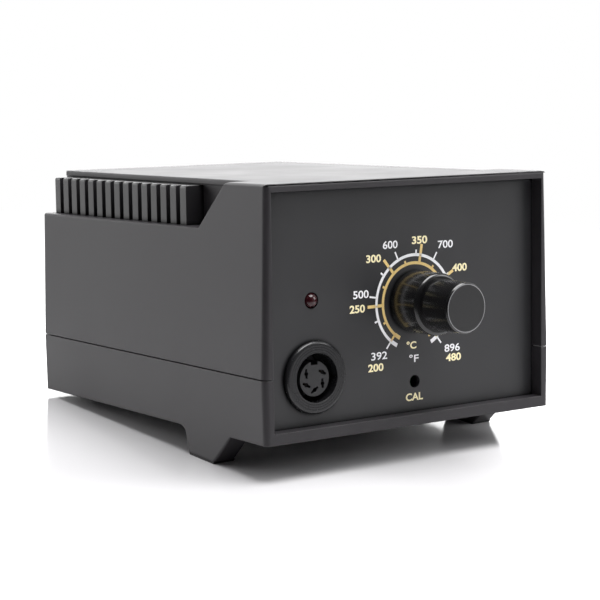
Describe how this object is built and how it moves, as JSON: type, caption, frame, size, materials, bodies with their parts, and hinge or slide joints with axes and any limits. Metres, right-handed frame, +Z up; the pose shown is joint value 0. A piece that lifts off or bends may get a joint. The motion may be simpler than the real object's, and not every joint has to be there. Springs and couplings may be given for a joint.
{
  "type": "soldering iron station",
  "caption": "Temperature-controlled soldering iron station in a two-part case that leans back, with a dial knob, lamp, iron socket, side vents and mains inlet.",
  "frame": {"origin": "on the surface under the middle of the whole station", "axes": "+X to the right seen from the front, +Y to the rear, +Z up; the case leans back by 4 degrees"},
  "size_m": [0.1232, 0.1758, 0.0954],
  "materials": {
    "case_plastic": "moulded ABS with a fine satin grain",
    "panel_plastic": "matt black sheet plastic",
    "knob_plastic": "polished black phenolic",
    "black_plastic": "black nylon",
    "white_plastic": "natural nylon",
    "lamp_plastic": "dark red diffused epoxy",
    "rubber": "moulded rubber",
    "socket_metal": "black chromated zinc",
    "steel": "zinc plated steel",
    "core_steel": "varnished silicon steel",
    "aluminium": "extruded aluminium",
    "brass": "tinned brass",
    "board_laminate": "epoxy glass laminate",
    "component_body": "lacquered electronic parts",
    "winding_copper": "enamelled copper wire under clear tape",
    "wire_sleeve": "soft PVC wire insulation",
    "fuse_glass": "clear glass tube"
  },
  "bodies": {
    "station": {"upper_cover": "case_plastic", "vent_grilles": "case_plastic", "lower_case": "case_plastic", "front_panel": "panel_plastic", "rear_panel": "panel_plastic", "front_foot_pads": "rubber", "rear_feet": "rubber", "case_screws": "steel", "potentiometer_can": "steel", "potentiometer_wafer": "component_body", "potentiometer_nut": "steel", "potentiometer_washer": "steel", "heater_lamp": "lamp_plastic", "lamp_spacer": "black_plastic", "lamp_leads": "steel", "calibration_trimmer": "component_body", "iron_socket_shell": "socket_metal", "iron_socket_core": "black_plastic", "iron_socket_contacts": "brass", "iron_socket_nut": "steel", "control_board": "board_laminate", "board_screws": "steel", "amplifier_chips": "black_plastic", "triac": "black_plastic", "triac_heat_sink": "aluminium", "smoothing_capacitors": "component_body", "film_capacitor": "component_body", "resistors": "component_body", "wire_headers": "white_plastic", "transformer_core": "core_steel", "transformer_bobbin": "white_plastic", "primary_winding": "winding_copper", "secondary_winding": "winding_copper", "transformer_tags": "brass", "transformer_bracket": "steel", "transformer_screws": "steel", "switch_housing": "black_plastic", "switch_terminals": "brass", "inlet_housing": "black_plastic", "inlet_blades": "brass", "inlet_screws": "steel", "inlet_nuts": "steel", "earth_ring_tag": "brass", "mains_wires": "wire_sleeve", "low_voltage_wires": "wire_sleeve", "iron_socket_wires": "wire_sleeve", "earth_wire": "wire_sleeve"},
    "knob": {"temperature_knob": "knob_plastic", "knob_grub_screw": "steel", "potentiometer_shaft": "steel"},
    "rocker": {"switch_rocker": "knob_plastic"},
    "cal_rotor": {"calibration_rotor": "white_plastic"},
    "fuse_carrier": {"fuse_drawer": "black_plastic", "fuse_glass": "fuse_glass", "fuse_caps": "steel"}
  },
  "joints": [
    {"name": "knob_turn", "type": "hinge", "parent": "station", "child": "knob", "pos_m": [0.0037, -0.06505, 0.05369], "axis": [0, 0.9976, -0.0698], "range_deg": [-232.9, 50.6]},
    {"name": "power_rock", "type": "hinge", "parent": "station", "child": "rocker", "pos_m": [0.05876, -0.03094, 0.05408], "axis": [0, 0.9976, -0.0698], "range_deg": [-20, 0]},
    {"name": "calibration_turn", "type": "hinge", "parent": "station", "child": "cal_rotor", "pos_m": [0.0038, -0.05299, 0.02548], "axis": [0, 0.9976, -0.0698], "range_deg": [-135, 135]},
    {"name": "fuse_slide", "type": "slide", "parent": "station", "child": "fuse_carrier", "axis": [0, 0.9976, -0.0698], "range_m": [0, 0.011]}
  ]
}
